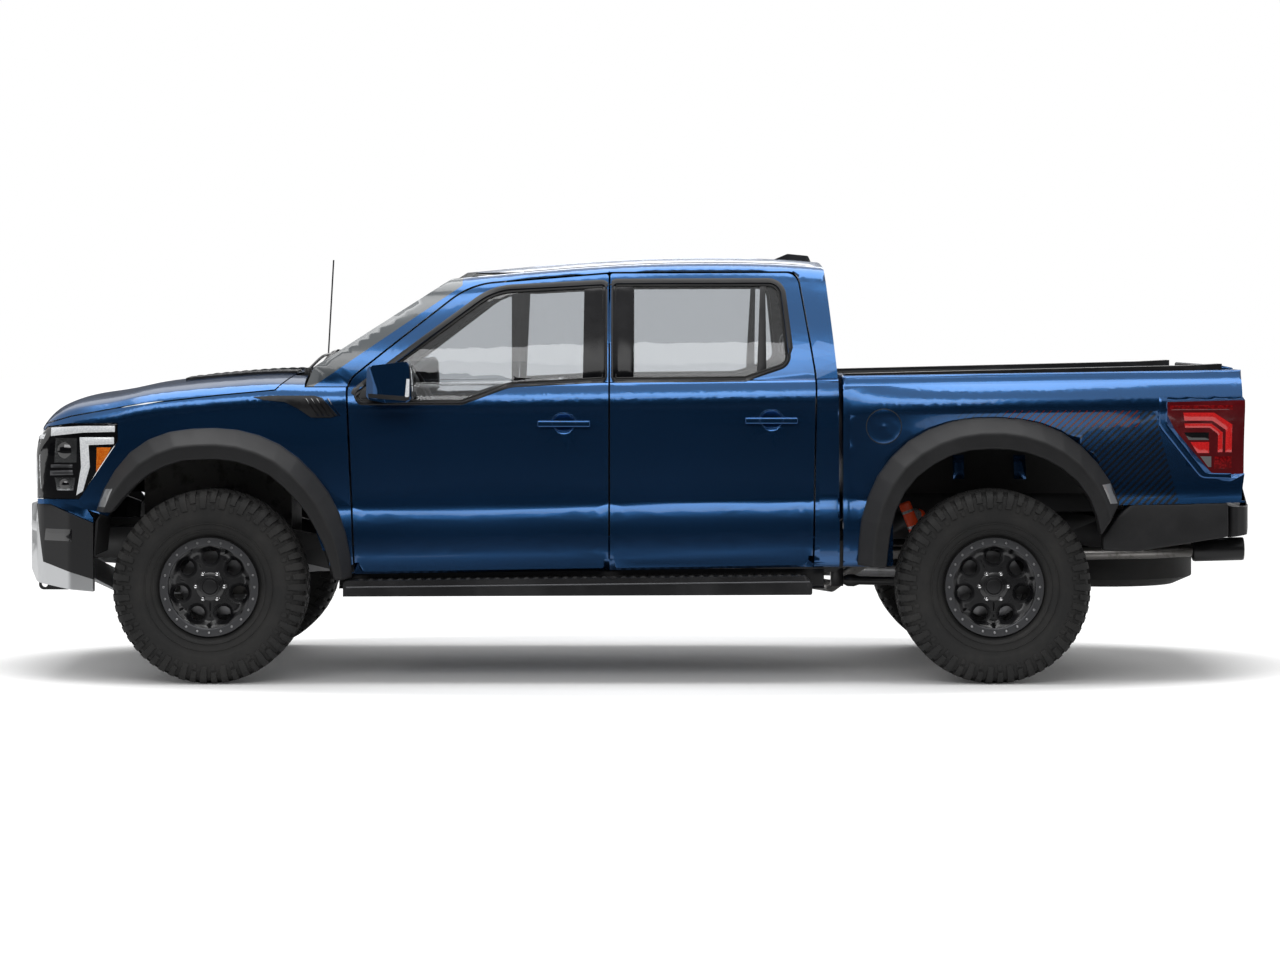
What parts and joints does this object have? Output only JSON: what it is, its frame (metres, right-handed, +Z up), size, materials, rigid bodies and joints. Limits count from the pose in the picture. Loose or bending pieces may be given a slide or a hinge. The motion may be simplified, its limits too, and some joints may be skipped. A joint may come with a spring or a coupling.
{
  "type": "crew-cab off-road pickup truck",
  "caption": "Lifted crew-cab off-road pickup with open bed, wide arch flares, all-terrain tyres, steered front wheels, opening doors, hood and tailgate.",
  "frame": {"origin": "on the ground under the middle of the truck's overall length and width", "axes": "+X to the tail, +Y to the truck's right side, +Z up"},
  "size_m": [5.908, 2.438, 2.0456],
  "materials": {
    "body_paint": "metallic gloss",
    "black_trim": "matte",
    "glass": "tinted",
    "frame_steel": "satin",
    "knuckle_iron": "rough",
    "exhaust_steel": "satin",
    "skid_alloy": "satin",
    "damper_orange": "gloss",
    "tyre": "matte",
    "rim_dark": "satin dark",
    "lamp_clear": "gloss",
    "lamp_red": "gloss",
    "seat_fabric": "satin"
  },
  "bodies": {
    "chassis": {"aerials": "black_trim", "arch_liners": "black_trim", "bed_rail_caps": "black_trim", "cab_shell": "body_paint", "cargo_bed": "body_paint", "cowl_panel": "black_trim", "dashboard": "black_trim", "driveline": "frame_steel", "engine_block": "frame_steel", "exhaust": "exhaust_steel", "fender_vents": "black_trim", "fixed_glass": "glass", "front_arms": "frame_steel", "front_bumper": "black_trim", "front_coilovers": "frame_steel", "front_fenders": "body_paint", "front_seats": "seat_fabric", "fuel_tank": "frame_steel", "grille": "black_trim", "headlamps": "lamp_clear", "ladder_frame": "frame_steel", "radiator": "frame_steel", "rear_axle": "frame_steel", "rear_bumper": "black_trim", "rear_dampers": "damper_orange", "rear_seat": "seat_fabric", "rear_suspension": "frame_steel", "recovery_hooks": "frame_steel", "running_boards": "black_trim", "skid_plate": "skid_alloy", "spare_wheel": "tyre", "tail_lamps": "lamp_red", "tow_receiver": "frame_steel", "wheel_flares": "black_trim"},
    "wheel_front_left": {"tyre_front_left": "tyre", "rim_front_left": "rim_dark"},
    "wheel_front_right": {"tyre_front_right": "tyre", "rim_front_right": "rim_dark"},
    "wheel_rear_left": {"tyre_rear_left": "tyre", "rim_rear_left": "rim_dark"},
    "wheel_rear_right": {"tyre_rear_right": "tyre", "rim_rear_right": "rim_dark"},
    "steer_knuckle_left": {"knuckle_left": "knuckle_iron"},
    "steer_knuckle_right": {"knuckle_right": "knuckle_iron"},
    "front_left_door": {"door_front_left": "body_paint", "glass_front_left": "glass", "mirror_left": "black_trim"},
    "front_right_door": {"door_front_right": "body_paint", "glass_front_right": "glass", "mirror_right": "black_trim"},
    "rear_left_door": {"door_rear_left": "body_paint", "glass_rear_left": "glass"},
    "rear_right_door": {"door_rear_right": "body_paint", "glass_rear_right": "glass"},
    "hood_lid": {"hood": "body_paint", "hood_vents": "black_trim"},
    "tail_gate": {"tailgate": "body_paint"},
    "steering_rim": {"steering_wheel": "black_trim"},
    "steering_rack": {"tie_rods": "frame_steel"}
  },
  "joints": [
    {"name": "steer_left", "type": "hinge", "parent": "chassis", "child": "steer_knuckle_left", "pos_m": [-2.03, -0.83, 0.457], "axis": [0, 0, 1], "range_deg": [-30, 30]},
    {"name": "steer_right", "type": "hinge", "parent": "chassis", "child": "steer_knuckle_right", "pos_m": [-2.03, 0.83, 0.457], "axis": [0, 0, 1], "range_deg": [-30, 30]},
    {"name": "roll_front_left", "type": "hinge", "parent": "steer_knuckle_left", "child": "wheel_front_left", "pos_m": [-2.03, -0.935, 0.457], "axis": [0, 1, 0], "continuous": true},
    {"name": "roll_rear_left", "type": "hinge", "parent": "chassis", "child": "wheel_rear_left", "pos_m": [1.67, -0.935, 0.457], "axis": [0, 1, 0], "continuous": true},
    {"name": "roll_front_right", "type": "hinge", "parent": "steer_knuckle_right", "child": "wheel_front_right", "pos_m": [-2.03, 0.935, 0.457], "axis": [0, 1, 0], "continuous": true},
    {"name": "roll_rear_right", "type": "hinge", "parent": "chassis", "child": "wheel_rear_right", "pos_m": [1.67, 0.935, 0.457], "axis": [0, 1, 0], "continuous": true},
    {"name": "steering_turn", "type": "hinge", "parent": "chassis", "child": "steering_rim", "pos_m": [-1.04, -0.41, 1.343], "axis": [0.8712, 0, 0.491], "range_deg": [-480, 480]},
    {"name": "rack_slide", "type": "slide", "parent": "chassis", "child": "steering_rack", "axis": [0, 1, 0], "range_m": [-0.08, 0.08]},
    {"name": "front_door_left", "type": "hinge", "parent": "chassis", "child": "front_left_door", "pos_m": [-1.296, -0.966, 0.9], "axis": [0, 0, -1], "range_deg": [0, 65]},
    {"name": "rear_door_left", "type": "hinge", "parent": "chassis", "child": "rear_left_door", "pos_m": [-0.0915, -0.966, 0.9], "axis": [0, 0, -1], "range_deg": [0, 65]},
    {"name": "front_door_right", "type": "hinge", "parent": "chassis", "child": "front_right_door", "pos_m": [-1.296, 0.966, 0.9], "axis": [0, 0, 1], "range_deg": [0, 65]},
    {"name": "rear_door_right", "type": "hinge", "parent": "chassis", "child": "rear_right_door", "pos_m": [-0.0915, 0.966, 0.9], "axis": [0, 0, 1], "range_deg": [0, 65]},
    {"name": "hood_lift", "type": "hinge", "parent": "chassis", "child": "hood_lid", "pos_m": [-1.6, 0, 1.44], "axis": [0, 1, 0], "range_deg": [0, 50]},
    {"name": "tailgate_drop", "type": "hinge", "parent": "chassis", "child": "tail_gate", "pos_m": [2.79, 0, 0.905], "axis": [0, 1, 0], "range_deg": [0, 90]}
  ],
  "couplings": [
    {"joint": "steer_right", "follows": "steer_left", "ratio": 1},
    {"joint": "steering_turn", "follows": "steer_left", "ratio": 15},
    {"joint": "rack_slide", "follows": "steer_left", "m_per_rad": -0.15}
  ]
}
